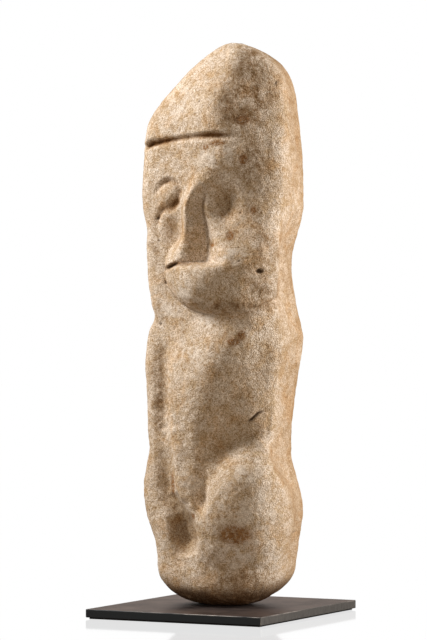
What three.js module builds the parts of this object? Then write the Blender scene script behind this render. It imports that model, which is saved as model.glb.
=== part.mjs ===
import * as THREE from 'three';
import { mergeVertices } from 'three/addons/utils/BufferGeometryUtils.js';

// A boulder carved as a standing figure, on a thin steel display plate with felt under it.
// Millimetres, +Z up. The figure faces -Y, so its left hand is towards +X.
// The origin is at the middle of the felt's underside, on the surface that the stand rests on.

// Driving dimensions
const FIGURE_HEIGHT = 550;
const PLATE_WIDTH = 190;
const PLATE_DEPTH = 212;
const PLATE_THICKNESS = 8;
const PLATE_CORNER_RADIUS = 1.5;
const PLATE_EDGE_BREAK = 0.5;
const UNDERLAY_THICKNESS = 1.2;
const UNDERLAY_INSET = 3;
const RESTING_GAP = 0.3;

// Where the figure's axis stands, from the middle of the plate
const STANCE_LEFTWARD = 2;
const STANCE_BACKWARD = 2;

// The figure's own form is given in thousandths of its height.
const UNIT = FIGURE_HEIGHT / 1000;

// Below the foot level the stone rounds in to its seat, and above the crown level it rounds over.
const FOOT_LEVEL = 78;
const CROWN_LEVEL = 820;

const ELBOW_LEVEL = 310;
const CHIN_LEVEL = 500;
const BROW_LEVEL = 780;

// How finely the stone is faceted: columns run up it, closer over the carved front, and rows run round it.
const FRONT_COLUMNS = 54;
const BACK_COLUMNS = 20;
const FRONT_SPAN = THREE.MathUtils.degToRad(152);
const FOOT_ROWS = 6;
const FOOT_SWEEP = THREE.MathUtils.degToRad(84);
const CROWN_ROWS = 9;
const CROWN_SWEEP = THREE.MathUtils.degToRad(88);
const BODY_ROWS = [
  { upTo: ELBOW_LEVEL, count: 17 },
  { upTo: CHIN_LEVEL, count: 7 },
  { upTo: BROW_LEVEL, count: 22 },
  { upTo: CROWN_LEVEL, count: 4 },
];

// How crisply neighbouring faces of the boulder meet: higher is sharper.
const ARRIS_SHARPNESS = 14;

// The back corners are dressed off to this share of the square corner's distance.
const BACK_CORNER_SHARE = 0.79;

const { clamp, degToRad, lerp, smoothstep } = THREE.MathUtils;

/** A smooth curve through [height, distance] stations, level beyond its ends. */
function curve(stations) {
  const last = stations.length - 1;
  const slopes = stations.map((station, i) => {
    if (i === 0 || i === last) return 0;
    const [lowHeight, lowDistance] = stations[i - 1];
    const [highHeight, highDistance] = stations[i + 1];
    return (highDistance - lowDistance) / (highHeight - lowHeight);
  });
  return (height) => {
    const at = clamp(height, stations[0][0], stations[last][0]);
    let i = 0;
    while (i < last - 1 && stations[i + 1][0] <= at) i += 1;
    const span = stations[i + 1][0] - stations[i][0];
    const t = (at - stations[i][0]) / span;
    const lean = t * (1 - t) * span * ((1 - t) * slopes[i] - t * slopes[i + 1]);
    return lerp(stations[i][1], stations[i + 1][1], t * t * (3 - 2 * t)) + lean;
  };
}

// How far each side of the boulder stands from its axis, from the foot up to the crown
const rightFlank = curve([
  [60, 112], [110, 116], [150, 131], [182, 139], [212, 141], [247, 134], [275, 128], [310, 130],
  [385, 133], [430, 137], [468, 135], [490, 130], [512, 119], [535, 125], [580, 132], [640, 134],
  [668, 132], [705, 141], [740, 142], [820, 139],
]);
const leftFlank = curve([
  [60, 120], [110, 126], [170, 133], [212, 126], [247, 115], [275, 111], [330, 115], [385, 121],
  [450, 132], [480, 134], [535, 123], [587, 114], [630, 116], [668, 127], [705, 137], [740, 138],
  [820, 140],
]);
const frontRight = curve([
  [60, 84], [170, 88], [330, 92], [400, 92], [470, 86], [520, 84], [600, 88], [700, 92], [840, 90],
]);
const frontLeft = curve([
  [60, 82], [170, 88], [330, 90], [400, 94], [470, 98], [520, 92], [600, 88], [700, 93], [760, 97],
  [840, 99],
]);
const back = curve([
  [60, 96], [170, 104], [260, 94], [330, 90], [400, 96], [470, 100], [520, 94], [600, 88], [700, 96],
  [780, 100], [840, 100],
]);
const leftThigh = curve([
  [60, 102], [130, 105], [200, 109], [250, 118], [290, 130], [330, 140], [820, 150],
]);
const leftArris = curve([
  [60, 140], [200, 140], [260, 114], [330, 105], [400, 108], [470, 115], [520, 108], [600, 104],
  [700, 111], [760, 119], [820, 150],
]);
const backCorner = (flank) => (height) => BACK_CORNER_SHARE * Math.hypot(flank(height), back(height));

// Upright faces. An azimuth is in degrees from the front round to the figure's left.
const SIDES = [
  { azimuth: -12, distance: frontRight },
  { azimuth: 18, distance: frontLeft },
  { azimuth: 36, distance: leftArris },
  { azimuth: 54, distance: leftThigh },
  { azimuth: 88, distance: leftFlank },
  { azimuth: 136, distance: backCorner(leftFlank) },
  { azimuth: 180, distance: back },
  { azimuth: -136, distance: backCorner(rightFlank) },
  { azimuth: -87, distance: rightFlank },
];

// Sloping faces. A tilt is in degrees above the horizontal, and a distance is from the axis at that level.
const CROWN_FACES = [
  { azimuth: -62, tilt: 42, distance: 137 },
  { azimuth: -16, tilt: 28, distance: 102 },
  { azimuth: 36, tilt: 14, distance: 102 },
  { azimuth: 104, tilt: 11, distance: 137 },
  { azimuth: 88, tilt: 56, distance: 178 },
  { azimuth: 154, tilt: 51, distance: 172 },
  { azimuth: -135, tilt: 50, distance: 143 },
  { azimuth: 33, tilt: 86, distance: 190 },
];
const FOOT_FACES = [
  { azimuth: -72, tilt: -46, distance: 108 },
  { azimuth: -20, tilt: -48, distance: 96 },
  { azimuth: 40, tilt: -48, distance: 102 },
  { azimuth: 92, tilt: -48, distance: 106 },
  { azimuth: 135, tilt: -45, distance: 108 },
  { azimuth: 180, tilt: -45, distance: 112 },
  { azimuth: -130, tilt: -45, distance: 116 },
  { azimuth: -80, tilt: -76, distance: 92 },
  { azimuth: 0, tilt: -68, distance: 84 },
  { azimuth: 90, tilt: -68, distance: 91 },
  { azimuth: 180, tilt: -74, distance: 90 },
  { azimuth: 0, tilt: -90, distance: 86 },
];
const SLOPING_FACES = [
  ...CROWN_FACES.map((face) => ({ ...face, level: CROWN_LEVEL })),
  ...FOOT_FACES.map((face) => ({ ...face, level: FOOT_LEVEL })),
];

/** Distance from the axis at a level to the dressed boulder, along a direction given in radians. */
function reach(azimuth, elevation, level) {
  const outward = Math.cos(elevation);
  const upward = Math.sin(elevation);
  let total = 0;
  for (const side of SIDES) {
    const facing = outward * Math.cos(azimuth - degToRad(side.azimuth));
    total += (Math.max(0, facing) / side.distance(level)) ** ARRIS_SHARPNESS;
  }
  for (const face of SLOPING_FACES) {
    const tilt = degToRad(face.tilt);
    const across = Math.cos(tilt) * Math.cos(azimuth - degToRad(face.azimuth));
    const facing = outward * across + upward * Math.sin(tilt);
    const distance = face.distance - Math.sin(tilt) * (level - face.level);
    total += (Math.max(0, facing) / distance) ** ARRIS_SHARPNESS;
  }
  return total ** (-1 / ARRIS_SHARPNESS);
}

/** The same run of stops with its bends eased, by stops put in along a curve through the given ones. */
function smoothRun(stops, parts = 3) {
  const last = stops.length - 1;
  const eased = [];
  for (let i = 0; i < last; i += 1) {
    const before = stops[Math.max(0, i - 1)];
    const start = stops[i];
    const end = stops[i + 1];
    const after = stops[Math.min(last, i + 2)];
    for (let part = 0; part < parts; part += 1) {
      const t = part / parts;
      eased.push(start.map((value, k) => {
        if (k > 1) return lerp(value, end[k], t);
        const lean = t * (1 - t) * ((1 - t) * (end[k] - before[k]) - t * (after[k] - value)) / 2;
        return lerp(value, end[k], t * t * (3 - 2 * t)) + lean;
      }));
    }
  }
  return [...eased, stops[last]];
}

// Cuts and ridges on the front, each a run of stops: across, height, lift, reach on the run's left and reach
// on its right
const CAP_LINE = smoothRun([
  [-124, 820, -13, 6, 14], [-100, 824, -11, 6, 12], [-56, 829, -6, 5, 10], [-20, 832, -6, 6, 11],
  [8, 834, -9, 7, 13], [34, 834, -8, 7, 13], [60, 833, -1, 7, 12],
]);
const BROW = smoothRun([
  [-34, 742, 1, 40, 34], [4, 766, 5, 40, 40], [40, 792, 5, 40, 44], [76, 812, 0, 34, 40],
]);
const NOSE = smoothRun([
  [22, 762, 0, 16, 22], [-10, 736, 11, 16, 22], [-22, 713, 16, 17, 22], [-23, 690, 18, 20, 22],
  [-22, 664, 21, 26, 24], [-24, 640, 24, 34, 34], [-30, 622, 26, 42, 44], [-34, 606, 27, 46, 48],
]);
const NOSE_TROUGH = smoothRun([
  [18, 754, 0, 20, 14], [0, 735, -5, 24, 15], [-6, 711, -7, 25, 16], [-2, 688, -7, 26, 16],
  [5, 664, -7, 26, 16], [12, 640, -5, 26, 18], [18, 616, -1, 22, 18],
]);
const CHEEKBONE = smoothRun([
  [24, 760, 0, 22, 18], [14, 724, 4, 22, 18], [14, 694, 4, 24, 20], [24, 660, 2, 30, 20],
]);
const RIGHT_LID = smoothRun([
  [-101, 734, -2, 9, 9], [-94, 744, -4, 10, 8], [-82, 752, -6, 10, 9], [-68, 754, -5, 9, 9],
  [-56, 748, -4, 9, 9], [-50, 736, -3, 10, 10],
]);
const RIGHT_SOCKET = smoothRun([
  [-50, 732, -3, 14, 14], [-58, 718, -8, 16, 16], [-68, 709, -8, 15, 15], [-82, 705, -5, 12, 12],
  [-96, 702, -1, 9, 9],
]);
const RIGHT_CREASE = smoothRun([[-88, 702, -2, 8, 9], [-96, 690, -5, 8, 9], [-98, 672, -1, 8, 8]]);
const MOUTH = smoothRun([
  [-80, 597, -2, 6, 8], [-60, 602, -9, 7, 10], [-36, 608, -9, 7, 10], [-10, 608, -4, 8, 10],
  [24, 610, -2, 9, 12],
]);
const CHIN = smoothRun([
  [40, 604, 0, 30, 30], [26, 588, 4, 34, 40], [4, 570, 6, 36, 46], [-8, 546, 5, 34, 40],
  [-14, 522, 0, 30, 30],
]);
const CHEST = smoothRun([
  [104, 556, 6, 50, 60], [82, 510, 15, 54, 72], [48, 460, 16, 66, 84], [-4, 388, 12, 66, 110],
  [-24, 330, 8, 54, 110], [-24, 290, 4, 46, 80], [-20, 240, 0, 40, 40],
]);
// The left cheek swells towards the arris beside it.
const CHEEK = smoothRun([
  [94, 734, 0, 34, 50], [97, 690, 8, 40, 62], [97, 640, 10, 44, 66], [93, 600, 7, 40, 60],
  [90, 566, 0, 30, 50],
]);
// The thigh swells in the same way.
const THIGH = smoothRun([
  [112, 262, 0, 40, 50], [110, 222, 14, 56, 70], [106, 166, 20, 64, 76], [98, 112, 14, 60, 66],
  [90, 68, 0, 40, 50],
]);
const FLANK_LINE = smoothRun([
  [104, 500, -1, 40, 30], [106, 420, -3, 50, 28], [106, 350, -3, 50, 28], [104, 300, 0, 40, 26],
]);
const RIGHT_ARM = smoothRun([
  [-92, 474, -1, 26, 24], [-89, 428, -10, 30, 24], [-87, 366, -11, 30, 22], [-86, 316, -8, 28, 20],
  [-84, 284, 0, 20, 16],
]);
const RIGHT_FOREARM = smoothRun([
  [-58, 322, 0, 28, 22], [-54, 280, 7, 28, 18], [-45, 230, 12, 28, 16], [-38, 194, 12, 26, 16],
  [-28, 160, 1, 20, 20],
]);
const RIGHT_GROIN = smoothRun([
  [-84, 296, 0, 26, 22], [-86, 250, -8, 32, 22], [-84, 212, -12, 34, 22], [-80, 186, -9, 34, 24],
  [-74, 162, 0, 30, 24],
]);
const BETWEEN_HANDS = smoothRun([
  [-8, 254, -2, 24, 26], [-4, 220, -7, 20, 22], [-2, 190, -13, 22, 20], [-4, 166, -4, 20, 20],
  [-6, 152, 0, 18, 18],
]);
const LEFT_FOREARM = smoothRun([
  [116, 290, 0, 40, 36], [98, 266, 12, 60, 50], [80, 244, 19, 74, 62], [61, 221, 22, 84, 70],
  [45, 196, 22, 84, 74], [36, 163, 20, 80, 74], [30, 132, 16, 70, 66], [25, 102, 10, 54, 54],
  [20, 72, 0, 40, 36],
]);
const ABOVE_FOREARM = smoothRun([
  [130, 344, 0, 30, 60], [98, 314, -7, 36, 74], [71, 298, -12, 38, 80], [46, 280, -14, 38, 76],
  [25, 252, -14, 34, 60], [12, 220, -11, 28, 34], [6, 192, -6, 20, 20], [-2, 164, 0, 12, 14],
]);
const LEG_HOLLOW = smoothRun([
  [-70, 202, 0, 32, 20], [-62, 174, -13, 42, 24], [-54, 146, -23, 46, 26], [-47, 116, -24, 46, 26],
  [-43, 88, -3, 38, 22],
]);

// Rounded lumps and hollows on the front
const DISHES = {
  leftEye: { across: 38, height: 714, halfWidth: 38, halfHeight: 46, lift: -16 },
  rightEyeball: { across: -82, height: 730, halfWidth: 22, halfHeight: 20, lift: 2 },
  rightCheek: { across: -62, height: 662, halfWidth: 28, halfHeight: 48, lift: -9 },
  rightHand: { across: -18, height: 230, halfWidth: 26, halfHeight: 40, lift: 7 },
};

// The jaw's lump. It dies out over cheekFade up the cheek, and under the nose over noseFade upwards and
// noseEdge across. Its left side loses part of its bulge.
const JAW = {
  across: 30, height: 598, halfWidth: 110, drop: 80, bulge: 41, edgePower: 0.5, roundness: 2.1,
  cheekFade: [600, 700], noseFade: [598, 614], noseEdge: [-4, 50], leftSideLoss: 0.25, leftSideFrom: 0.3,
};

// Where the relief dies out: the stretch of heights above the seat and below the crown, and of how
// squarely a face looks to the front
const FADE_ABOVE_SEAT = [20, 60];
const FADE_BELOW_CROWN = [880, 960];
const FADE_ROUND_SIDES = [0.05, 0.5];
const CHEST_FADE = [520, 560];
const NOSE_BASE = [598, 612];

// How far to each side, in radians, the lie of the surface is read at a point
const NEARBY = 0.001;

const roll = (share) => 1 - smoothstep(share, 0, 1);

/** A crest that is rounded along its top. With dying above 1 its sides ease out into the surface. */
const ridge = (softness, dying) => (share) => {
  const full = Math.hypot(1, softness) - softness;
  return Math.max(0, 1 - (Math.hypot(share, softness) - softness) / full) ** dying;
};

/** Lift at one point from the nearest stretch of a run of stops, falling off sideways by a profile. */
function along(across, height, stops, profile) {
  let nearest = Infinity;
  let lift = 0;
  for (let i = 1; i < stops.length; i += 1) {
    const [fromAcross, fromHeight, fromLift, fromLeft, fromRight] = stops[i - 1];
    const [toAcross, toHeight, toLift, toLeft, toRight] = stops[i];
    const runAcross = toAcross - fromAcross;
    const runHeight = toHeight - fromHeight;
    const dot = (across - fromAcross) * runAcross + (height - fromHeight) * runHeight;
    const t = clamp(dot / (runAcross ** 2 + runHeight ** 2), 0, 1);
    const asideAcross = across - fromAcross - t * runAcross;
    const asideHeight = height - fromHeight - t * runHeight;
    const distance = Math.hypot(asideAcross, asideHeight);
    if (distance < nearest) {
      nearest = distance;
      const onItsLeft = runAcross * asideHeight > runHeight * asideAcross;
      const width = onItsLeft ? lerp(fromLeft, toLeft, t) : lerp(fromRight, toRight, t);
      lift = lerp(fromLift, toLift, t) * profile(distance / width);
    }
  }
  return lift;
}

function dishLift(across, height, dish) {
  const share = Math.hypot((across - dish.across) / dish.halfWidth, (height - dish.height) / dish.halfHeight);
  return dish.lift * roll(share);
}

/** A rounded mass under the mouth, undercut along its lower edge and dying out up the left cheek. */
function jawLift(across, height) {
  const sideways = (across - JAW.across) / JAW.halfWidth;
  const below = Math.max(0, JAW.height - height) / JAW.drop;
  const share = (Math.abs(sideways) ** JAW.roundness + below ** JAW.roundness) ** (1 / JAW.roundness);
  const bulge = JAW.bulge * Math.max(0, 1 - share ** 2) ** JAW.edgePower;
  const upCheek = 1 - smoothstep(height, ...JAW.cheekFade);
  const underNose = 1 - smoothstep(height, ...JAW.noseFade) * (1 - smoothstep(across, ...JAW.noseEdge));
  const leftSide = 1 - JAW.leftSideLoss * smoothstep(sideways, JAW.leftSideFrom, 1);
  return bulge * upCheek * underNose * leftSide;
}

const RIDGES = [
  { stops: CHIN, profile: ridge(0.3, 1.5) },
  { stops: CHEEK, profile: ridge(0.35, 1.4) },
  { stops: THIGH, profile: ridge(0.35, 1.4) },
  { stops: NOSE_TROUGH, profile: ridge(0.25, 1.8) },
  { stops: RIGHT_FOREARM, profile: ridge(0.45, 1.5) },
  { stops: LEFT_FOREARM, profile: ridge(0.25, 1.2) },
  { stops: ABOVE_FOREARM, profile: ridge(0.25, 1.4) },
  { stops: LEG_HOLLOW, profile: ridge(0.35, 1.2) },
];
const ROLLS = [
  CAP_LINE, BROW, CHEEKBONE, RIGHT_LID, RIGHT_SOCKET, RIGHT_CREASE, MOUTH, FLANK_LINE, RIGHT_ARM,
  RIGHT_GROIN, BETWEEN_HANDS,
];

/** How far the carved front stands out from the dressed boulder. */
function carving(across, height) {
  let lift = jawLift(across, height);
  lift += along(across, height, NOSE, ridge(0.15, 1)) * smoothstep(height, ...NOSE_BASE);
  lift += along(across, height, CHEST, ridge(0.35, 1.3)) * (1 - smoothstep(height, ...CHEST_FADE));
  for (const { stops, profile } of RIDGES) lift += along(across, height, stops, profile);
  for (const stops of ROLLS) lift += along(across, height, stops, roll);
  for (const dish of Object.values(DISHES)) lift += dishLift(across, height, dish);
  return lift;
}

/** A point of the stone's surface. The rounded underside is cut off flat at height 0, which is its seat. */
function stonePoint(azimuth, elevation, level) {
  const place = (angle) => {
    const distance = reach(angle, elevation, level);
    const outward = distance * Math.cos(elevation);
    return new THREE.Vector3(
      Math.sin(angle) * outward,
      -Math.cos(angle) * outward,
      level + distance * Math.sin(elevation),
    );
  };
  const point = place(azimuth);
  const alongSide = place(azimuth + NEARBY).sub(place(azimuth - NEARBY));
  const normal = new THREE.Vector3(alongSide.y, -alongSide.x, 0).normalize();
  const onFront = smoothstep(-normal.y, ...FADE_ROUND_SIDES);
  const clearOfSeat = smoothstep(point.z, ...FADE_ABOVE_SEAT);
  const clearOfCrown = 1 - smoothstep(point.z, ...FADE_BELOW_CROWN);
  point.addScaledVector(normal, carving(point.x, point.z) * onFront * clearOfSeat * clearOfCrown);
  point.z = Math.max(point.z, 0);
  return point;
}

/** The azimuths of the mesh's columns, closer together over the carved front. */
function columnAzimuths() {
  const azimuths = [];
  for (let i = 0; i < FRONT_COLUMNS; i += 1) {
    azimuths.push(FRONT_SPAN * (i / FRONT_COLUMNS - 0.5));
  }
  for (let i = 0; i < BACK_COLUMNS; i += 1) {
    azimuths.push(FRONT_SPAN / 2 + (2 * Math.PI - FRONT_SPAN) * (i / BACK_COLUMNS));
  }
  return azimuths;
}

/** The mesh's rows from the seat to the crown, each a level on the axis and an elevation from it. */
function rowStations() {
  const rows = [];
  for (let i = 0; i < FOOT_ROWS; i += 1) {
    rows.push({ level: FOOT_LEVEL, elevation: FOOT_SWEEP * (i / FOOT_ROWS - 1) });
  }
  let from = FOOT_LEVEL;
  for (const band of BODY_ROWS) {
    for (let i = 0; i < band.count; i += 1) {
      rows.push({ level: lerp(from, band.upTo, i / band.count), elevation: 0 });
    }
    from = band.upTo;
  }
  for (let i = 0; i < CROWN_ROWS; i += 1) {
    rows.push({ level: CROWN_LEVEL, elevation: CROWN_SWEEP * (i / CROWN_ROWS) });
  }
  return rows;
}

/** The whole stone as one closed mesh, standing on z = 0 by its small flat seat. */
function stoneGeometry() {
  const azimuths = columnAzimuths();
  const rows = rowStations();
  const columns = azimuths.length;
  const ringOf = ({ elevation, level }) => azimuths.map((azimuth) => stonePoint(azimuth, elevation, level));
  const points = rows.flatMap(ringOf);
  for (const point of points) point.multiplyScalar(UNIT);

  const seatMiddle = points.push(stonePoint(0, -Math.PI / 2, FOOT_LEVEL).multiplyScalar(UNIT)) - 1;
  const apex = points.push(stonePoint(0, Math.PI / 2, CROWN_LEVEL).multiplyScalar(UNIT)) - 1;

  const faces = [];
  for (let ring = 0; ring + 1 < rows.length; ring += 1) {
    for (let column = 0; column < columns; column += 1) {
      const next = (column + 1) % columns;
      const a = ring * columns + column;
      const b = ring * columns + next;
      const c = (ring + 1) * columns + next;
      const d = (ring + 1) * columns + column;
      const acrossAC = points[a].distanceTo(points[c]) < points[b].distanceTo(points[d]);
      faces.push(...(acrossAC ? [a, b, c, a, c, d] : [a, b, d, b, c, d]));
    }
  }
  const lastRing = (rows.length - 1) * columns;
  for (let column = 0; column < columns; column += 1) {
    const next = (column + 1) % columns;
    faces.push(seatMiddle, next, column);
    faces.push(apex, lastRing + column, lastRing + next);
  }
  const geometry = new THREE.BufferGeometry().setFromPoints(points);
  geometry.setIndex(faces);
  geometry.computeVertexNormals();
  return geometry;
}

/** The rectangular plate standing on z = 0, with rounded corners and broken edges. */
function plateGeometry() {
  const right = PLATE_WIDTH / 2 - PLATE_EDGE_BREAK;
  const rear = PLATE_DEPTH / 2 - PLATE_EDGE_BREAK;
  const radius = PLATE_CORNER_RADIUS - PLATE_EDGE_BREAK;
  const outline = new THREE.Shape();
  outline.moveTo(radius - right, -rear);
  outline.absarc(right - radius, radius - rear, radius, -Math.PI / 2, 0);
  outline.absarc(right - radius, rear - radius, radius, 0, Math.PI / 2);
  outline.absarc(radius - right, rear - radius, radius, Math.PI / 2, Math.PI);
  outline.absarc(radius - right, radius - rear, radius, Math.PI, 1.5 * Math.PI);
  const geometry = new THREE.ExtrudeGeometry(outline, {
    depth: PLATE_THICKNESS - 2 * PLATE_EDGE_BREAK,
    bevelEnabled: true,
    bevelSize: PLATE_EDGE_BREAK,
    bevelThickness: PLATE_EDGE_BREAK,
    bevelSegments: 1,
    curveSegments: 2,
  });
  geometry.translate(0, 0, PLATE_EDGE_BREAK);
  geometry.deleteAttribute('normal');
  geometry.deleteAttribute('uv');
  const closed = mergeVertices(geometry);
  closed.computeVertexNormals();
  return closed;
}

function makeFelt() {
  const width = PLATE_WIDTH - 2 * UNDERLAY_INSET;
  const depth = PLATE_DEPTH - 2 * UNDERLAY_INSET;
  const felt = new THREE.MeshStandardMaterial({ color: '#211f1e', roughness: 1 });
  const mesh = new THREE.Mesh(new THREE.BoxGeometry(width, depth, UNDERLAY_THICKNESS), felt);
  mesh.name = 'felt_underlay';
  mesh.position.z = UNDERLAY_THICKNESS / 2;
  return mesh;
}

function makePlate() {
  const steel = new THREE.MeshStandardMaterial({ color: '#46403c', roughness: 0.55, metalness: 0.8 });
  const mesh = new THREE.Mesh(plateGeometry(), steel);
  mesh.name = 'display_plate';
  mesh.position.z = UNDERLAY_THICKNESS + RESTING_GAP;
  return mesh;
}

function makeFigure() {
  const stone = new THREE.MeshStandardMaterial({ color: '#c3a583', roughness: 0.95 });
  const mesh = new THREE.Mesh(stoneGeometry(), stone);
  mesh.name = 'stone_figure';
  const plateTop = UNDERLAY_THICKNESS + RESTING_GAP + PLATE_THICKNESS;
  mesh.position.set(STANCE_LEFTWARD, STANCE_BACKWARD, plateTop + RESTING_GAP);
  return mesh;
}

const carvedFigureOnPlate = new THREE.Group();
carvedFigureOnPlate.add(makeFelt(), makePlate(), makeFigure());

export default carvedFigureOnPlate;
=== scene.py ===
"""A boulder carved as a standing figure, on its thin dark steel display plate with felt under it.

Metres, +Z up. The figure looks towards -Y, so its left hand is towards +X.
"""
import math

import bpy
import numpy as np
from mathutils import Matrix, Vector, noise


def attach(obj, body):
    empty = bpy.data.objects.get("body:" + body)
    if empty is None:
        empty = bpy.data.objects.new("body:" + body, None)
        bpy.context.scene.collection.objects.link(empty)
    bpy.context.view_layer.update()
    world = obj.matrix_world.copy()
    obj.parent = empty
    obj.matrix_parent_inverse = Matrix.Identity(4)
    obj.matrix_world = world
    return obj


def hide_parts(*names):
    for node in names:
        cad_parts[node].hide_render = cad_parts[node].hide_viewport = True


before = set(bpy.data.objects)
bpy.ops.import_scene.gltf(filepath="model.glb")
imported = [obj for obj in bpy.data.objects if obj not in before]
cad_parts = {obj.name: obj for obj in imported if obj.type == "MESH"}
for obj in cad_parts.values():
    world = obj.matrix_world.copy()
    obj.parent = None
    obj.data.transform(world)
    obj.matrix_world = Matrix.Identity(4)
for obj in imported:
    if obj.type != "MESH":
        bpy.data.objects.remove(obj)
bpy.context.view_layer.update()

MM = 0.001

# The stone's form is given in thousandths of its height, as in the part's source.
FIGURE_HEIGHT = 550 * MM
UNIT = FIGURE_HEIGHT / 1000
PLATE_WIDTH = 190 * MM
PLATE_DEPTH = 212 * MM
PLATE_TOP = 9.5 * MM
STONE_SEAT = Vector((2 * MM, 2 * MM, 9.8 * MM))

# Between these levels the boulder has upright faces. Below and above, sloping ones close it.
FOOT_LEVEL = 78
CROWN_LEVEL = 820
# The higher it is, the sharper the faces meet
ARRIS_SHARPNESS = 14
# How far out the back's chamfers stand, as a share of the square corner
BACK_CORNER_SHARE = 0.79


# The camera stands level with the figure's chest and looks down at it by less than one degree.

FIGURE_HEIGHT_PIXELS = 561.5
PHOTO_PIXEL = FIGURE_HEIGHT / FIGURE_HEIGHT_PIXELS
PHOTO_HEIGHT_PIXELS = 640
CAMERA_DISTANCE_PIXELS = 3852
CAMERA_DIP_PIXELS = 60
CAMERA_DISTANCE = CAMERA_DISTANCE_PIXELS * PHOTO_PIXEL
CAMERA_AZIMUTH = math.radians(27.2)
CAMERA_ASIDE = 9 * PHOTO_PIXEL
CAMERA_HEIGHT = PLATE_TOP + 344.9 * PHOTO_PIXEL
CAMERA_DIP = math.atan(CAMERA_DIP_PIXELS / CAMERA_DISTANCE_PIXELS)
SENSOR_HEIGHT = 24

camera_right = Vector((math.cos(CAMERA_AZIMUTH), math.sin(CAMERA_AZIMUTH), 0))
camera_ahead = Vector((-math.sin(CAMERA_AZIMUTH), math.cos(CAMERA_AZIMUTH), 0))


def place_camera():
    camera = bpy.data.objects.new("camera", bpy.data.cameras.new("camera"))
    bpy.context.scene.collection.objects.link(camera)
    camera.location = -camera_ahead * CAMERA_DISTANCE - camera_right * CAMERA_ASIDE
    camera.location.z = CAMERA_HEIGHT
    camera.rotation_euler = (math.pi / 2 - CAMERA_DIP, 0, CAMERA_AZIMUTH)
    camera.data.sensor_fit = "VERTICAL"
    camera.data.sensor_height = SENSOR_HEIGHT
    camera.data.lens = SENSOR_HEIGHT * CAMERA_DISTANCE_PIXELS / PHOTO_HEIGHT_PIXELS
    bpy.context.scene.camera = camera


place_camera()


def smoothstep(value, low, high):
    share = np.clip((value - low) / (high - low), 0, 1)
    return share * share * (3 - 2 * share)


def curve(stations):
    """A smooth curve through (height, distance) stations, level beyond its ends."""
    heights = np.array([station[0] for station in stations], float)
    distances = np.array([station[1] for station in stations], float)
    slopes = np.zeros(len(stations))
    slopes[1:-1] = (distances[2:] - distances[:-2]) / (heights[2:] - heights[:-2])

    def distance_at(height):
        at = np.clip(height, heights[0], heights[-1])
        i = np.clip(np.searchsorted(heights, at, side="right") - 1, 0, len(heights) - 2)
        span = heights[i + 1] - heights[i]
        t = (at - heights[i]) / span
        lean = t * (1 - t) * span * ((1 - t) * slopes[i] - t * slopes[i + 1])
        eased = t * t * (3 - 2 * t)
        return distances[i] + (distances[i + 1] - distances[i]) * eased + lean

    return distance_at


# How far each side of the boulder stands from its axis, from the foot up to the crown

right_flank = curve([
    (60, 112), (110, 116), (150, 131), (182, 139), (212, 141), (247, 134), (275, 128), (310, 130),
    (385, 133), (430, 137), (468, 135), (490, 130), (512, 119), (535, 125), (580, 132), (640, 134),
    (668, 132), (705, 141), (740, 142), (820, 139),
])
left_flank = curve([
    (60, 120), (110, 126), (170, 133), (212, 126), (247, 115), (275, 111), (330, 115), (385, 121),
    (450, 132), (480, 134), (535, 123), (587, 114), (630, 116), (668, 127), (705, 137), (740, 138),
    (820, 140),
])
front_right = curve([
    (60, 84), (170, 88), (330, 92), (400, 92), (470, 86), (520, 84), (600, 88), (700, 92), (840, 90),
])
front_left = curve([
    (60, 82), (170, 88), (330, 90), (400, 94), (470, 98), (520, 92), (600, 88), (700, 93), (760, 97),
    (840, 99),
])
left_thigh = curve([
    (60, 102), (130, 105), (200, 109), (250, 118), (290, 130), (330, 140), (820, 150),
])
left_arris = curve([
    (60, 140), (200, 140), (260, 114), (330, 105), (400, 108), (470, 115), (520, 108), (600, 104),
    (700, 111), (760, 119), (820, 150),
])
back = curve([
    (60, 96), (170, 104), (260, 94), (330, 90), (400, 96), (470, 100), (520, 94), (600, 88),
    (700, 96), (780, 100), (840, 100),
])


def back_corner(flank):
    return lambda height: BACK_CORNER_SHARE * np.hypot(flank(height), back(height))


# Upright faces: azimuth in degrees from the front round to the figure's left, and distance
SIDES = [
    (-12, front_right), (18, front_left), (36, left_arris), (54, left_thigh), (88, left_flank),
    (136, back_corner(left_flank)), (180, back), (-136, back_corner(right_flank)), (-87, right_flank),
]

# Sloping faces: azimuth, tilt above the horizontal, distance from the axis at their level
CROWN_FACES = [
    (-62, 42, 137), (-16, 28, 102), (36, 14, 102), (104, 11, 137), (88, 56, 178), (154, 51, 172),
    (-135, 50, 143), (33, 86, 190),
]
FOOT_FACES = [
    (-72, -46, 108), (-20, -48, 96), (40, -48, 102), (92, -48, 106), (135, -45, 108), (180, -45, 112),
    (-130, -45, 116), (-80, -76, 92), (0, -68, 84), (90, -68, 91), (180, -74, 90), (0, -90, 86),
]


def reach(azimuth, elevation, level):
    """Distance from the axis at a level to the dressed boulder, along a direction in radians."""
    outward, upward = np.cos(elevation), np.sin(elevation)
    total = 0
    for face, distance in SIDES:
        facing = outward * np.cos(azimuth - math.radians(face))
        total = total + (np.maximum(0, facing) / distance(level)) ** ARRIS_SHARPNESS
    for faces, own_level in ((CROWN_FACES, CROWN_LEVEL), (FOOT_FACES, FOOT_LEVEL)):
        for face, degrees, own_distance in faces:
            tilt = math.radians(degrees)
            across = math.cos(tilt) * np.cos(azimuth - math.radians(face))
            facing = outward * across + upward * math.sin(tilt)
            distance = own_distance - math.sin(tilt) * (level - own_level)
            total = total + (np.maximum(0, facing) / distance) ** ARRIS_SHARPNESS
    return total ** (-1 / ARRIS_SHARPNESS)


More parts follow.
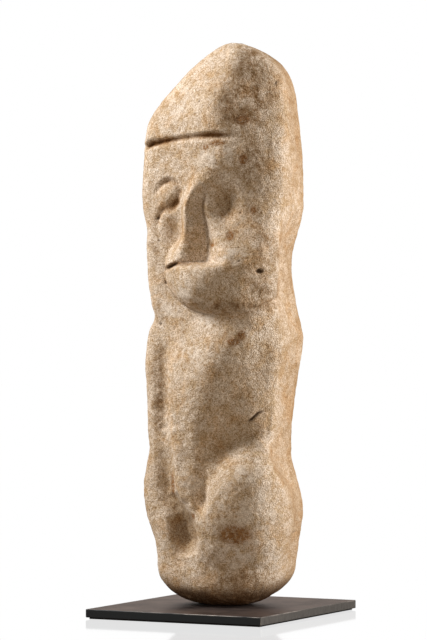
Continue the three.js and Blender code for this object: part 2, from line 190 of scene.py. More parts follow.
def smooth_run(stops, parts=3):
    """The same run with its bends eased, by stops put in along a curve through the given ones."""
    eased = []
    last = len(stops) - 1
    for i in range(last):
        around = [stops[max(0, min(last, i + k))] for k in (-1, 0, 1, 2)]
        before, start, end, after = (np.array(stop, float) for stop in around)
        for t in np.arange(parts) / parts:
            stop = start + (end - start) * t
            lean = t * (1 - t) * ((1 - t) * (end - before) - t * (after - start)) / 2
            straight = t * t * (3 - 2 * t)
            stop[:2] = (start + (end - start) * straight + lean)[:2]
            eased.append(tuple(stop))
    return eased + [stops[-1]]


# Cuts and ridges on the front, each a run of stops: across, height, lift, reach on the run's left
# and reach on its right

CAP_LINE = smooth_run([
    (-124, 820, -13, 6, 14), (-100, 824, -11, 6, 12), (-56, 829, -6, 5, 10), (-20, 832, -6, 6, 11),
    (8, 834, -9, 7, 13), (34, 834, -8, 7, 13), (60, 833, -1, 7, 12),
])
BROW = smooth_run([
    (-34, 742, 1, 40, 34), (4, 766, 5, 40, 40), (40, 792, 5, 40, 44), (76, 812, 0, 34, 40),
])
NOSE = smooth_run([
    (22, 762, 0, 16, 22), (-10, 736, 11, 16, 22), (-22, 713, 16, 17, 22), (-23, 690, 18, 20, 22),
    (-22, 664, 21, 26, 24), (-24, 640, 24, 34, 34), (-30, 622, 26, 42, 44), (-34, 606, 27, 46, 48),
])
NOSE_TROUGH = smooth_run([
    (18, 754, 0, 20, 14), (0, 735, -5, 24, 15), (-6, 711, -7, 25, 16), (-2, 688, -7, 26, 16),
    (5, 664, -7, 26, 16), (12, 640, -5, 26, 18), (18, 616, -1, 22, 18),
])
CHEEKBONE = smooth_run([
    (24, 760, 0, 22, 18), (14, 724, 4, 22, 18), (14, 694, 4, 24, 20), (24, 660, 2, 30, 20),
])
RIGHT_LID = smooth_run([
    (-101, 734, -2, 9, 9), (-94, 744, -4, 10, 8), (-82, 752, -6, 10, 9), (-68, 754, -5, 9, 9),
    (-56, 748, -4, 9, 9), (-50, 736, -3, 10, 10),
])
RIGHT_SOCKET = smooth_run([
    (-50, 732, -3, 14, 14), (-58, 718, -8, 16, 16), (-68, 709, -8, 15, 15), (-82, 705, -5, 12, 12),
    (-96, 702, -1, 9, 9),
])
RIGHT_CREASE = smooth_run([(-88, 702, -2, 8, 9), (-96, 690, -5, 8, 9), (-98, 672, -1, 8, 8)])
MOUTH = smooth_run([
    (-80, 597, -2, 6, 8), (-60, 602, -9, 7, 10), (-36, 608, -9, 7, 10), (-10, 608, -4, 8, 10),
    (24, 610, -2, 9, 12),
])
CHIN = smooth_run([
    (40, 604, 0, 30, 30), (26, 588, 4, 34, 40), (4, 570, 6, 36, 46), (-8, 546, 5, 34, 40),
    (-14, 522, 0, 30, 30),
])
CHEST = smooth_run([
    (104, 556, 6, 50, 60), (82, 510, 15, 54, 72), (48, 460, 16, 66, 84), (-4, 388, 12, 66, 110),
    (-24, 330, 8, 54, 110), (-24, 290, 4, 46, 80), (-20, 240, 0, 40, 40),
])
# The cheek and the thigh swell towards the left arris
CHEEK = smooth_run([
    (94, 734, 0, 34, 50), (97, 690, 8, 40, 62), (97, 640, 10, 44, 66), (93, 600, 7, 40, 60),
    (90, 566, 0, 30, 50),
])
THIGH = smooth_run([
    (112, 262, 0, 40, 50), (110, 222, 14, 56, 70), (106, 166, 20, 64, 76), (98, 112, 14, 60, 66),
    (90, 68, 0, 40, 50),
])
FLANK_LINE = smooth_run([
    (104, 500, -1, 40, 30), (106, 420, -3, 50, 28), (106, 350, -3, 50, 28), (104, 300, 0, 40, 26),
])
RIGHT_ARM = smooth_run([
    (-92, 474, -1, 26, 24), (-89, 428, -10, 30, 24), (-87, 366, -11, 30, 22), (-86, 316, -8, 28, 20),
    (-84, 284, 0, 20, 16),
])
RIGHT_FOREARM = smooth_run([
    (-58, 322, 0, 28, 22), (-54, 280, 7, 28, 18), (-45, 230, 12, 28, 16), (-38, 194, 12, 26, 16),
    (-28, 160, 1, 20, 20),
])
RIGHT_GROIN = smooth_run([
    (-84, 296, 0, 26, 22), (-86, 250, -8, 32, 22), (-84, 212, -12, 34, 22), (-80, 186, -9, 34, 24),
    (-74, 162, 0, 30, 24),
])
BETWEEN_HANDS = smooth_run([
    (-8, 254, -2, 24, 26), (-4, 220, -7, 20, 22), (-2, 190, -13, 22, 20), (-4, 166, -4, 20, 20),
    (-6, 152, 0, 18, 18),
])
LEFT_FOREARM = smooth_run([
    (116, 290, 0, 40, 36), (98, 266, 12, 60, 50), (80, 244, 19, 74, 62), (61, 221, 22, 84, 70),
    (45, 196, 22, 84, 74), (36, 163, 20, 80, 74), (30, 132, 16, 70, 66), (25, 102, 10, 54, 54),
    (20, 72, 0, 40, 36),
])
ABOVE_FOREARM = smooth_run([
    (130, 344, 0, 30, 60), (98, 314, -7, 36, 74), (71, 298, -12, 38, 80), (46, 280, -14, 38, 76),
    (25, 252, -14, 34, 60), (12, 220, -11, 28, 34), (6, 192, -6, 20, 20), (-2, 164, 0, 12, 14),
])
LEG_HOLLOW = smooth_run([
    (-70, 202, 0, 32, 20), (-62, 174, -13, 42, 24), (-54, 146, -23, 46, 26), (-47, 116, -24, 46, 26),
    (-43, 88, -3, 38, 22),
])

# Rounded lumps and hollows: across, height, half width, half height, lift
DISHES = [
    (38, 714, 38, 46, -16), (-82, 730, 22, 20, 2), (-62, 662, 28, 48, -9), (-18, 230, 26, 40, 7),
]

# The jaw: its middle across, its half width, the height of its top, its drop, and how far it stands out
JAW_MIDDLE = 30
JAW_HALF_WIDTH = 110
JAW_TOP = 598
JAW_DROP = 80
JAW_BULGE = 41
JAW_ROUNDNESS = 2.1
JAW_LEFT_CUT = 0.25

# Where parts of the carving fade, as a range of height or of distance across
JAW_INTO_CHEEK = (600, 700)
JAW_UNDER_NOSE = (598, 614)
JAW_BESIDE_NOSE = (-4, 50)
NOSE_ABOVE_MOUTH = (598, 612)
CHEST_INTO_NECK = (520, 560)
CARVING_ABOVE_FOOT = (20, 60)
CARVING_INTO_CROWN = (880, 960)


def roll(share):
    return 1 - smoothstep(share, 0, 1)


def ridge(softness, dying):
    """A crest that is rounded along its top. With dying above 1 its sides ease out into the surface."""
    full = math.hypot(1, softness) - softness
    return lambda share: np.maximum(0, 1 - (np.hypot(share, softness) - softness) / full) ** dying


def along(across, height, stops, profile):
    """Lift from the nearest stretch of a run of stops, falling off sideways by a profile."""
    nearest = np.full(np.shape(across), np.inf)
    lift = np.zeros(np.shape(across))
    for start, end in zip(stops[:-1], stops[1:]):
        run_across, run_height = end[0] - start[0], end[1] - start[1]
        dot = (across - start[0]) * run_across + (height - start[1]) * run_height
        t = np.clip(dot / (run_across ** 2 + run_height ** 2), 0, 1)
        aside_across = across - start[0] - t * run_across
        aside_height = height - start[1] - t * run_height
        distance = np.hypot(aside_across, aside_height)
        on_its_left = run_across * aside_height > run_height * aside_across
        left_width = start[3] + (end[3] - start[3]) * t
        right_width = start[4] + (end[4] - start[4]) * t
        share = distance / np.where(on_its_left, left_width, right_width)
        own_lift = (start[2] + (end[2] - start[2]) * t) * profile(share)
        lift = np.where(distance < nearest, own_lift, lift)
        nearest = np.minimum(nearest, distance)
    return lift


def dish(across, height, own_across, own_height, half_width, half_height, lift):
    return lift * roll(np.hypot((across - own_across) / half_width, (height - own_height) / half_height))


def jaw(across, height):
    """A rounded mass under the mouth, undercut along its lower edge and dying out up the left cheek."""
    sideways = (across - JAW_MIDDLE) / JAW_HALF_WIDTH
    below = np.maximum(0, JAW_TOP - height) / JAW_DROP
    share = (np.abs(sideways) ** JAW_ROUNDNESS + below ** JAW_ROUNDNESS) ** (1 / JAW_ROUNDNESS)
    bulge = JAW_BULGE * np.maximum(0, 1 - share ** 2) ** 0.5
    up_cheek = 1 - smoothstep(height, *JAW_INTO_CHEEK)
    beside_nose = smoothstep(across, *JAW_BESIDE_NOSE)
    under_nose = 1 - smoothstep(height, *JAW_UNDER_NOSE) * (1 - beside_nose)
    left_side = 1 - JAW_LEFT_CUT * smoothstep(sideways, 0.3, 1)
    return bulge * up_cheek * under_nose * left_side


RIDGES = [
    (CHIN, ridge(0.3, 1.5)), (CHEEK, ridge(0.35, 1.4)), (THIGH, ridge(0.35, 1.4)),
    (NOSE_TROUGH, ridge(0.25, 1.8)), (RIGHT_FOREARM, ridge(0.45, 1.5)), (LEFT_FOREARM, ridge(0.25, 1.2)),
    (ABOVE_FOREARM, ridge(0.25, 1.4)), (LEG_HOLLOW, ridge(0.35, 1.2)),
]
ROLLS = [
    CAP_LINE, BROW, CHEEKBONE, RIGHT_LID, RIGHT_SOCKET, RIGHT_CREASE, MOUTH, FLANK_LINE, RIGHT_ARM,
    RIGHT_GROIN, BETWEEN_HANDS,
]
NARROW_CUTS = [CAP_LINE, MOUTH, RIGHT_LID, RIGHT_SOCKET, RIGHT_CREASE]


def carving(across, height):
    """How far the carved front stands out from the dressed boulder."""
    lift = jaw(across, height)
    lift += along(across, height, NOSE, ridge(0.15, 1)) * smoothstep(height, *NOSE_ABOVE_MOUTH)
    lift += along(across, height, CHEST, ridge(0.35, 1.3)) * (1 - smoothstep(height, *CHEST_INTO_NECK))
    for stops, profile in RIDGES:
        lift += along(across, height, stops, profile)
    for stops in ROLLS:
        lift += along(across, height, stops, roll)
    for own in DISHES:
        lift += dish(across, height, *own)
    return lift * smoothstep(height, *CARVING_ABOVE_FOOT) * (1 - smoothstep(height, *CARVING_INTO_CROWN))


# Damage that came after the carving, in thousandths of the height across and up the front

# Pits: across, height, radius, depth
PITS = [
    (92, 594, 5.5, 9), (-82, 574, 4.5, 4.5), (68, 697, 3.2, 3), (110, 925, 5.5, 4), (-22, 132, 3.4, 4.5),
    (128, 132, 3, 3), (-14, 893, 3, 2.5), (-50, 842, 3.4, 2.5), (-96, 500, 5, 2.5), (-64, 492, 4, 2),
    (-52, 520, 3.5, 2), (20, 905, 4, 2), (-100, 688, 4.5, 3), (-96, 648, 4, 3), (66, 612, 3.5, 2.5),
]
# Scratches and hairlines: stops as above
CUTS = [
    [
        (76, 328, 0, 4, 4), (84, 334, -4.5, 4, 5), (94, 345, -4, 4, 5), (106, 349, -1, 3, 4),
        (116, 356, 0, 3, 3),
    ],
    [(146, 930, 0, 3, 3), (152, 933, -2, 3, 3), (158, 938, 0, 3, 3)],
    [(-84, 596, 0, 3, 3), (-64, 601, -5, 3, 4), (-46, 606, -5, 3, 4), (-32, 608, 0, 3, 3)],
]


def damage(across, height):
    lift = sum(dish(across, height, *middle, radius, radius, -depth) for *middle, radius, depth in PITS)
    for stops in CUTS:
        lift += along(across, height, stops, roll)
    return lift


# Patina, with some painted light and painted shade among it, as soft patches: across, height, half width,
# half height
# Brown film; the patch at height 532 under the jaw is painted shade
BROWN_FILM_AND_JAW_SHADE = [
    (64, 968, 34, 52), (52, 890, 46, 52), (74, 858, 34, 34), (88, 790, 40, 62), (76, 920, 50, 74),
    (70, 880, 50, 60), (-100, 376, 28, 104), (-104, 640, 16, 60), (-96, 520, 26, 34),
    (100, 640, 20, 70), (56, 532, 100, 20), (100, 560, 30, 40), (70, 48, 80, 38),
]
RUST = [
    (68, 859, 15, 13), (74, 790, 10, 13), (30, 819, 20, 7), (8, 812, 9, 7), (72, 482, 9, 12),
    (51, 656, 9, 12), (56, 131, 34, 24), (-70, 216, 9, 28), (60, 470, 14, 9), (20, 640, 6, 6),
    (-20, 160, 9, 9), (88, 700, 7, 10),
]
# Whitish bloom; the patches along the left forearm's upper edge, from (68, 238) to (18, 140), and the two
# on the left thigh, at (74, 178) and (66, 96), are painted light
BLOOM_AND_PAINTED_LIGHT = [
    (-78, 520, 44, 32), (30, 800, 70, 30), (10, 508, 46, 26), (-8, 560, 40, 30), (60, 622, 40, 26),
    (-60, 890, 40, 50), (-30, 450, 50, 40), (68, 238, 34, 26), (42, 200, 22, 34), (18, 140, 16, 40),
    (-20, 226, 24, 30), (74, 178, 50, 66), (66, 96, 70, 50),
]
# Painted shade in the hollow of the right leg, weaker than the painted shade under the foot
LEG_HOLLOW_SHADE = [(-60, 134, 52, 66)]
LEG_HOLLOW_SHADE_SHARE = 0.45
# Rust stains reach full strength well inside their edges
RUST_FULLNESS = 2.5

# How squarely a face must look to the front to be carved, damaged, stained or given painted light and
# shade, from none to all of it
FRONT_TO_CARVE = (0.05, 0.5)
FRONT_TO_DAMAGE = (0, 0.2)
FRONT_TO_STAIN = (0, 0.3)

# Where weathering and painted shade start and where they are full: round from the front in degrees, up
# from the seat, and into the stone
RIGHT_SIDE = (38, 68)
LEFT_SIDE = (66, 106)
LEFT_FLANK = (50, 82)
BEHIND_FLANK = (140, 165)
BACK = (120, 165)
OCHRE_AND_SHADE_LOST_ON_BACK = 0.7
FOOT_SHADE_HEIGHTS = (25, 100)
UNDERSIDE = (-0.1, 0.6)
CUT_SHADE_DEPTH = (1, 9)
RECESS_SHADE_DEPTH = (1, 14)
PIT_SHADE_DEPTH = (0.6, 3)
ARM_DEPTH = (0.5, 5)

# Natural unevenness: broad swells, small dressing facets, and pecking a few millimetres apart, which
# is deeper in the hollow of the right arm
SWELL_SIZE, SWELL_DEPTH = 34 * MM, 0.55 * MM
FACET_SIZE, FACET_DEPTH = 11 * MM, 0.42 * MM
PECK_SIZE, PECK_DEPTH, ARM_PECK_DEPTH = 4.2 * MM, 0.36 * MM, 0.6 * MM

# The stone's mesh: columns run up it, closer over the carved front, and rows run round it.
FRONT_SPAN = math.radians(152)
FRONT_COLUMNS = 196
BACK_COLUMNS = 64
FOOT_ROWS = 26
BODY_ROWS = 300
CROWN_ROWS = 50
# Steepest directions of the end rows. What is left inside them closes to one point.
FOOT_DIP = math.radians(86)
CROWN_RISE = math.radians(88)
# How far to each side of a point, in radians, the surface is felt for the way that it faces
FEELER = 0.001
# Moves each random field away from the others
FIELD_SHIFT = Vector((17.3, 5.1, 9.7))


def grid_of_directions():
    """Azimuth, elevation and level of every mesh point, a row at a time from the seat to the crown."""
    front = FRONT_SPAN * (np.arange(FRONT_COLUMNS) / FRONT_COLUMNS - 0.5)
    rear = FRONT_SPAN / 2 + (2 * math.pi - FRONT_SPAN) * np.arange(BACK_COLUMNS) / BACK_COLUMNS
    azimuths = np.concatenate([front, rear])
    elevations = np.concatenate([
        FOOT_DIP * (np.arange(FOOT_ROWS) / FOOT_ROWS - 1),
        np.zeros(BODY_ROWS),
        CROWN_RISE * np.arange(CROWN_ROWS) / CROWN_ROWS,
    ])
    levels = np.concatenate([
        np.full(FOOT_ROWS, FOOT_LEVEL),
        np.linspace(FOOT_LEVEL, CROWN_LEVEL, BODY_ROWS, endpoint=False),
        np.full(CROWN_ROWS, CROWN_LEVEL),
    ])
    azimuth, elevation = np.meshgrid(azimuths, elevations)
    level = np.repeat(levels[:, None], len(azimuths), axis=1)
    return azimuth, elevation, level


def boulder_points(azimuth, elevation, level):
    distance = reach(azimuth, elevation, level)
    outward = distance * np.cos(elevation)
    return (
        np.sin(azimuth) * outward,
        -np.cos(azimuth) * outward,
        level + distance * np.sin(elevation),
    )


def rough(points, size, seed):
    """Smooth random field between about -1 and 1, with lumps of a size in metres."""
    shift = FIELD_SHIFT * seed
    return np.array([noise.noise(Vector(point) / size + shift) for point in points])


def outward_direction(azimuth, elevation, level):
    """The level direction that the dressed boulder faces at each mesh point."""
    x_after, y_after, _ = boulder_points(azimuth + FEELER, elevation, level)
    x_before, y_before, _ = boulder_points(azimuth - FEELER, elevation, level)
    step = np.hypot(x_after - x_before, y_after - y_before)
    return (y_after - y_before) / step, (x_before - x_after) / step


def stone_faces(rows, columns):
    """Quads from row to row, closed at the seat and the crown by fans round their middle points."""
    faces = []
    for row in range(rows - 1):
        here = row * columns + np.arange(columns)
        there = row * columns + (np.arange(columns) + 1) % columns
        faces += np.stack([here, there, there + columns, here + columns], axis=1).tolist()
    seat_middle, apex = rows * columns, rows * columns + 1
    last = (rows - 1) * columns
    for column in range(columns):
        after = (column + 1) % columns
        faces.append((seat_middle, after, column))
        faces.append((apex, last + column, last + after))
    return faces


def with_ends(values):
    """A mask over the grid as one list, with nought for the middle points of the seat and the crown."""
    return np.append(values.ravel(), [0, 0])


def add_weather_and_shade(mesh, masks):
    """Gives the mesh its weathering, painted shade and painted light masks for the stone's material, one
    number a point.
    """
    for name, values in masks.items():
        layer = mesh.attributes.new(name, "FLOAT", "POINT")
        layer.data.foreach_set("value", values.astype(np.float32))


def make_stone():
    azimuth, elevation, level = grid_of_directions()
    across, behind, height = boulder_points(azimuth, elevation, level)
    facing_x, facing_y = outward_direction(azimuth, elevation, level)
    on_front = smoothstep(-facing_y, *FRONT_TO_CARVE)
    lift = carving(across, height) * on_front
    worn = damage(across, height) * smoothstep(-facing_y, *FRONT_TO_DAMAGE)
    points = np.stack([
        across + facing_x * (lift + worn), behind + facing_y * (lift + worn), height,
    ], axis=-1).reshape(-1, 3)
    ends = [
        boulder_points(0.0, -math.pi / 2, FOOT_LEVEL), boulder_points(0.0, math.pi / 2, CROWN_LEVEL),
    ]
    points = np.concatenate([points, ends]) * UNIT

    mesh = bpy.data.meshes.new("stone_figure_carved")
    mesh.from_pydata(points.tolist(), [], stone_faces(*azimuth.shape))
    mesh.update()
    normals = np.zeros(points.size)
    mesh.vertices.foreach_get("normal", normals)
    normals = normals.reshape(-1, 3)

    pecked = with_ends(smoothstep(-along(across, height, RIGHT_ARM, roll) * on_front, *ARM_DEPTH))
    uneven = rough(points, SWELL_SIZE, 1) * SWELL_DEPTH + rough(points, FACET_SIZE, 2) * FACET_DEPTH
    uneven += rough(points, PECK_SIZE, 3) * (PECK_DEPTH + ARM_PECK_DEPTH * pecked)
    points = points + normals * uneven[:, None]
    points[:, 2] = np.maximum(points[:, 2], 0)
    points += np.array(STONE_SEAT)
    mesh.vertices.foreach_set("co", points.ravel())
    mesh.update()
    mesh.shade_smooth()

    def patches(areas):
        cover = sum(dish(across, height, *area, 1.0) for area in areas)
        return with_ends(np.minimum(cover * smoothstep(-facing_y, *FRONT_TO_STAIN), 1))

    # How far round from the front each point faces, in degrees: left above nought, right below it
    lie = np.degrees(np.arctan2(normals[:, 0], -normals[:, 1]))
    # Sides that turn away from the front get a darker ochre: partly the stone's own tint, partly painted
    # shade where they turn from the light
    sides = np.maximum(smoothstep(-lie, *RIGHT_SIDE), smoothstep(lie, *LEFT_SIDE))
    # Painted shade on the downward faces near the foot and in the hollow of the right leg
    underside = smoothstep(-normals[:, 2], *UNDERSIDE)
    near_foot = 1 - smoothstep(points[:, 2] / UNIT, *FOOT_SHADE_HEIGHTS)
    # How deep the narrow cuts are, for the painted shade in them
    cut_shade = on_front * sum(along(across, height, stops, roll) for stops in NARROW_CUTS)
    add_weather_and_shade(mesh, {
        "ochre_and_side_shade": sides * (1 - OCHRE_AND_SHADE_LOST_ON_BACK * smoothstep(np.abs(lie), *BACK)),
        "flank": smoothstep(lie, *LEFT_FLANK) * (1 - smoothstep(lie, *BEHIND_FLANK)),
        "foot_and_leg_shade": np.maximum(near_foot * underside, LEG_HOLLOW_SHADE_SHARE * patches(LEG_HOLLOW_SHADE)),
        "brown_film_and_jaw_shade": patches(BROWN_FILM_AND_JAW_SHADE),
        "rust": np.minimum(RUST_FULLNESS * patches(RUST), 1),
        "bloom_and_painted_light": patches(BLOOM_AND_PAINTED_LIGHT),
        # Painted shade in the narrow cuts, the carved hollows and the pits
        "cut_shade": with_ends(smoothstep(-cut_shade, *CUT_SHADE_DEPTH)),
        "recess_shade": with_ends(smoothstep(-lift, *RECESS_SHADE_DEPTH)),
        "pit_shade": with_ends(smoothstep(-worn, *PIT_SHADE_DEPTH)),
    })
    stone = bpy.data.objects.new("carved_stone", mesh)
    bpy.context.scene.collection.objects.link(stone)
    return stone


def linear(colour):
    """An sRGB hex colour as linear light."""
    parts = [int(colour[i:i + 2], 16) / 255 for i in (1, 3, 5)]
    return [part / 12.92 if part <= 0.04045 else ((part + 0.055) / 1.055) ** 2.4 for part in parts] + [1]


def add(tree, kind, inputs=None, **settings):
    """Adds a node with its settings. Each of its inputs is a value, or an output to link it to."""
    node = tree.nodes.new(kind)
    for name, value in settings.items():
        setattr(node, name, value)
    for name, value in (inputs or {}).items():
        if isinstance(value, bpy.types.NodeSocket):
            tree.links.new(value, node.inputs[name])
        else:
            node.inputs[name].default_value = value
    return node


def new_material(name):
    material = bpy.data.materials.new(name)
    material.use_nodes = True
    tree = material.node_tree
    return material, tree, tree.nodes["Principled BSDF"]


def lay(tree, blend, below, colour, strength, *limits):
    """Lays a colour over what is below, up to a strength. Both are hex colours or outputs.

    Each limit is a pattern with the two values of it between which the colour comes in.
    """
    share = strength
    for pattern, low, high in limits:
        share = add(tree, "ShaderNodeMapRange", {
            "Value": pattern, "From Min": low, "From Max": high, "To Min": 0, "To Max": share,
        }).outputs["Result"]
    first, second = (linear(paint) if isinstance(paint, str) else paint for paint in (below, colour))
    mixed = add(tree, "ShaderNodeMix", {0: share, 6: first, 7: second}, data_type="RGBA", blend_type=blend)
    return mixed.outputs[2]


def weathered_buff_stone():
    """Coarse-grained buff stone, pecked and then weathered: matt, speckled, greyed and rust-stained,
    with painted shade in its hollows, cuts, pits, undersides and turned-away sides and painted light on
    the left forearm and thigh.
    """
    material, tree, surface = new_material("weathered_buff_stone")
    where = add(tree, "ShaderNodeTexCoord").outputs["Object"]
    flank, ochre_and_side_shade, bloom_and_painted_light, brown_film_and_jaw_shade, foot_and_leg_shade, rust, recess_shade, cut_shade, pit_shade = (
        add(tree, "ShaderNodeAttribute", attribute_name=name).outputs["Fac"]
        for name in ("flank", "ochre_and_side_shade", "bloom_and_painted_light", "brown_film_and_jaw_shade", "foot_and_leg_shade", "rust", "recess_shade", "cut_shade", "pit_shade")
    )
    # Each pattern's size in millimetres, its detail, roughness and distortion
    grain, clump, lost_grains, mottle, patch, warmth = (
        add(tree, "ShaderNodeTexNoise", {
            "Vector": where, "Scale": 1 / (size * MM), "Detail": detail, "Roughness": roughness,
            "Distortion": distortion,
        }).outputs["Fac"]
        for size, detail, roughness, distortion in (
            (1.1, 1, 0.5, 0), (3.0, 5, 0.75, 0), (2.4, 3, 0.6, 0.4), (11, 6, 0.7, 0), (42, 5, 0.62, 0),
            (24, 5, 0.66, 0.6),
        )
    )

    # Grains from 1 to 4 mm across, so each one shows as a light or dark fleck
    flecks = add(tree, "ShaderNodeMix", {0: 0.45, 2: grain, 3: clump}).outputs[0]
    skin = lay(tree, "MIX", "#ae9273", "#f9e9d7", 1.0, (flecks, 0.39, 0.61))
    # The left flank is smoother, with its grains rubbed level and closer in tone
    skin = lay(tree, "MIX", skin, "#c9b197", 0.25, (flank, 0, 1))
    # Sparse dark specks about 2 mm across, where grains have fallen out
    skin = lay(tree, "MIX", skin, "#7a6248", 0.6, (lost_grains, 0.66, 0.72))

    # Weathering: blotches about 10 mm across, and patches of 40 mm that are greyer or more ochre
    skin = lay(tree, "MULTIPLY", skin, "#e4d8c4", 1.0, (mottle, 0.56, 0.38))
    skin = lay(tree, "MULTIPLY", skin, "#f0ece6", 1.0, (patch, 0.44, 0.66))
    skin = lay(tree, "MULTIPLY", skin, "#f9e8d0", 1.0, (warmth, 0.5, 0.72))
    # Darker ochre on the sides that turn away: partly the stone's own tint, partly painted shade
    skin = lay(tree, "MULTIPLY", skin, "#c4b298", 0.8, (patch, 0.2, 0.4), (ochre_and_side_shade, 0, 1))
    # Whitish bloom, with painted light along the left forearm's upper edge and on the left thigh
    skin = lay(tree, "MIX", skin, "#f4e7d8", 0.4, (mottle, 0.44, 0.56), (bloom_and_painted_light, 0, 1))
    # Brown film, with painted shade under the jaw
    skin = lay(tree, "MULTIPLY", skin, "#98805c", 0.85, (mottle, 0.66, 0.34), (brown_film_and_jaw_shade, 0, 1))
    # Painted shade on the downward faces near the foot and in the hollow of the right leg
    skin = lay(tree, "MULTIPLY", skin, "#7f6b50", 1.0, (mottle, 0.25, 0.5), (foot_and_leg_shade, 0, 1))
    skin = lay(tree, "MULTIPLY", skin, "#b28e62", 0.95, (clump, 0.36, 0.52), (rust, 0, 1))
    # Painted shade: darker in the carved hollows, browner and darker in the narrow cuts, and dark inside
    # the pits
    skin = lay(tree, "MULTIPLY", skin, "#ddd5c8", 1.0, (recess_shade, 0, 1))
    skin = lay(tree, "MULTIPLY", skin, "#a08462", 1.0, (cut_shade, 0, 1))
    skin = lay(tree, "MIX", skin, "#5a4735", 1.0, (pit_shade, 0, 1))
    tree.links.new(skin, surface.inputs["Base Color"])

    coarse = add(tree, "ShaderNodeMapRange", {"Value": flank, "To Min": 1.0, "To Max": 0.8})
    bump = add(tree, "ShaderNodeBump", {
        "Height": flecks, "Strength": coarse.outputs["Result"], "Distance": 1.5 * MM,
    })
    tree.links.new(bump.outputs["Normal"], surface.inputs["Normal"])
    surface.inputs["Roughness"].default_value = 0.95
    surface.inputs["Specular IOR Level"].default_value = 0.1
    return material


def waxed_hot_rolled_steel():
    """Hot-rolled steel plate, waxed: dark brown-grey mill scale, satin, with bare worn arrises that are
    also painted highlights, painted shade on the front and back sides and painted light on the ends.
    """
    material, tree, surface = new_material("waxed_hot_rolled_steel")
    where = add(tree, "ShaderNodeTexCoord").outputs["Object"]
    drawn = add(tree, "ShaderNodeMapping", {"Vector": where, "Scale": (1, 1, 0.2)}).outputs["Vector"]
    # Clouds of mill scale, a finer mottle that keeps the face from looking painted, the upright lines
    # of the brushed ends, and the rubbing along the arrises, which is also a painted highlight: sizes in
    # millimetres
    clouds, mottle, brushing, arris_wear_and_highlight = (
        add(tree, "ShaderNodeTexNoise", {
            "Vector": lie, "Scale": 1 / (size * MM), "Detail": detail,
        }).outputs["Fac"]
        for lie, size, detail in ((where, 26, 6), (where, 5, 4), (drawn, 0.9, 3), (where, 18, 3))
    )

    # How far a point lies in from the plate's ends, in from its front and back, and below its top
    place = add(tree, "ShaderNodeSeparateXYZ", {"Vector": where}).outputs
    in_from_ends, in_from_front, below_top = (
        add(tree, "ShaderNodeMath", {
            0: limit, 1: add(tree, "ShaderNodeMath", {0: place[axis]}, operation="ABSOLUTE").outputs[0],
        }, operation="SUBTRACT").outputs[0]
        for limit, axis in ((PLATE_WIDTH / 2, "X"), (PLATE_DEPTH / 2, "Y"), (PLATE_TOP, "Z"))
    )

    face = lay(tree, "MIX", "#352f2d", "#574c47", 1.0, (clouds, 0.35, 0.65))
    face = lay(tree, "MIX", face, "#6a5a52", 0.5, (mottle, 0.5, 0.75))
    # Painted shade makes the front and back sides blacker, and painted light the brushed ends greyer
    face = lay(tree, "MIX", face, "#2b2d2e", 1.0, (in_from_front, 0.7 * MM, 0.4 * MM))
    brushed_lit_ends = lay(tree, "MIX", "#4d4a47", "#63605c", 1.0, (brushing, 0.3, 0.7))
    face = lay(tree, "MIX", face, brushed_lit_ends, 1.0, (in_from_ends, 0.7 * MM, 0.4 * MM))

    # Bare metal along the top arris and down the corners, rubbed most near the left-hand end, and also a
    # painted highlight where the arrises catch the light. It is drawn 1 mm wide so that it shows.
    in_from_side, corner_arris = (
        add(tree, "ShaderNodeMath", {0: in_from_ends, 1: in_from_front}, operation=operation).outputs[0]
        for operation in ("MINIMUM", "MAXIMUM")
    )
    top_arris = add(tree, "ShaderNodeMath", {0: in_from_side, 1: below_top}, operation="MAXIMUM")
    nearest = add(tree, "ShaderNodeMath", {0: top_arris.outputs[0], 1: corner_arris}, operation="MINIMUM")
    face = lay(
        tree, "MIX", face, "#8d857e", 1.0,
        (place["X"], -60 * MM, 80 * MM), (arris_wear_and_highlight, 0.42, 0.66), (nearest.outputs[0], 1.0 * MM, 0.5 * MM),
    )
    tree.links.new(face, surface.inputs["Base Color"])
    surface.inputs["Metallic"].default_value = 0.8
    surface.inputs["Specular Tint"].default_value = linear("#d2c4bb")
    surface.inputs["Roughness"].default_value = 0.45
    return material


def black_felt():
    """Thin pressed wool felt: black, with no shine and a fine fuzz."""
    material, tree, surface = new_material("black_felt")
    where = add(tree, "ShaderNodeTexCoord").outputs["Object"]
    fibres = add(tree, "ShaderNodeTexNoise", {"Vector": where, "Scale": 1 / (0.8 * MM), "Detail": 4})
    tone = lay(tree, "MIX", "#151313", "#2b2827", 1.0, (fibres.outputs["Fac"], 0, 1))
    tree.links.new(tone, surface.inputs["Base Color"])
    surface.inputs["Roughness"].default_value = 1
    return material


def dress(piece, material):
    piece.data.materials.clear()
    piece.data.materials.append(material)


stone = make_stone()
dress(stone, weathered_buff_stone())
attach(stone, "root")
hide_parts("stone_figure")
dress(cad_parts["display_plate"], waxed_hot_rolled_steel())
dress(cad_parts["felt_underlay"], black_felt())


FLOOR_SIZE = 12
LIGHTS_AIM = Vector((0, 0, 0.3))

# Soft boxes: azimuth from the camera's side and rise in degrees, distance, width, height, watts, colour
SOFT_BOXES = {
    "left_soft_box": (-92, 36, 1.6, 0.35, 0.7, 37.5, "#ffffff"),
    "right_soft_box": (88, 14, 1.5, 0.3, 1.0, 33, "#ffffff"),
    "front_fill": (12, 6, 2.6, 1.4, 1.0, 17, "#fff2e2"),
}


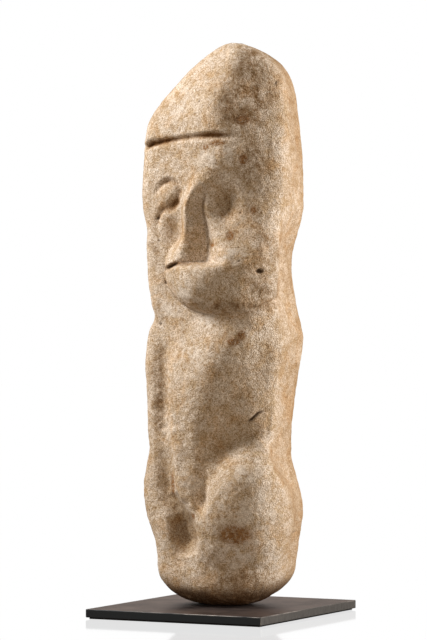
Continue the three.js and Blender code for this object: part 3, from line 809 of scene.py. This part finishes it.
def make_floor():
    """A white studio table, kept white to its edges and polished enough to mirror the plate faintly."""
    bpy.ops.mesh.primitive_plane_add(size=FLOOR_SIZE)
    floor = bpy.context.object
    floor.name = "studio_table"
    material, tree, surface = new_material("white_gloss_table")
    surface.inputs["Base Color"].default_value = linear("#7d766d")
    surface.inputs["Roughness"].default_value = 0.6
    surface.inputs["Specular IOR Level"].default_value = 0
    seen = add(tree, "ShaderNodeLightPath").outputs["Is Camera Ray"]
    white = add(tree, "ShaderNodeEmission", {"Color": linear("#ffffff"), "Strength": 1.0})
    mirror = add(tree, "ShaderNodeBsdfGlossy", {"Color": linear("#ffffff"), "Roughness": 0.06})
    table_top = add(tree, "ShaderNodeMixShader", {0: 0.25, 1: white.outputs[0], 2: mirror.outputs[0]})
    shown = add(tree, "ShaderNodeMixShader", {0: seen, 1: surface.outputs[0], 2: table_top.outputs[0]})
    tree.links.new(shown.outputs[0], tree.nodes["Material Output"].inputs["Surface"])
    floor.data.materials.append(material)
    return floor


def add_soft_box(name, azimuth, rise, distance, width, height, watts, colour):
    turn = CAMERA_AZIMUTH + math.radians(azimuth)
    rise = math.radians(rise)
    towards = Vector((math.sin(turn) * math.cos(rise), -math.cos(turn) * math.cos(rise), math.sin(rise)))
    box = bpy.data.lights.new(name, "AREA")
    box.shape = "RECTANGLE"
    box.size = width
    box.size_y = height
    box.energy = watts
    box.color = linear(colour)[:3]
    light = bpy.data.objects.new(name, box)
    bpy.context.scene.collection.objects.link(light)
    light.location = LIGHTS_AIM + towards * distance
    light.rotation_euler = (-towards).to_track_quat("-Z", "Y").to_euler()


def light_studio():
    for name, box in SOFT_BOXES.items():
        add_soft_box(name, *box)
    world = bpy.data.worlds.new("white_studio")
    bpy.context.scene.world = world
    world.use_nodes = True
    tree = world.node_tree
    # White behind the figure and in what shines, with a dim warm fill on what doesn't
    diffuse = add(tree, "ShaderNodeLightPath").outputs["Is Diffuse Ray"]
    fill = lay(tree, "MIX", "#ffffff", "#4c463e", 1.0, (diffuse, 0, 1))
    tree.links.new(fill, tree.nodes["Background"].inputs["Color"])
    bpy.context.scene.view_settings.view_transform = "Standard"


make_floor()
light_studio()
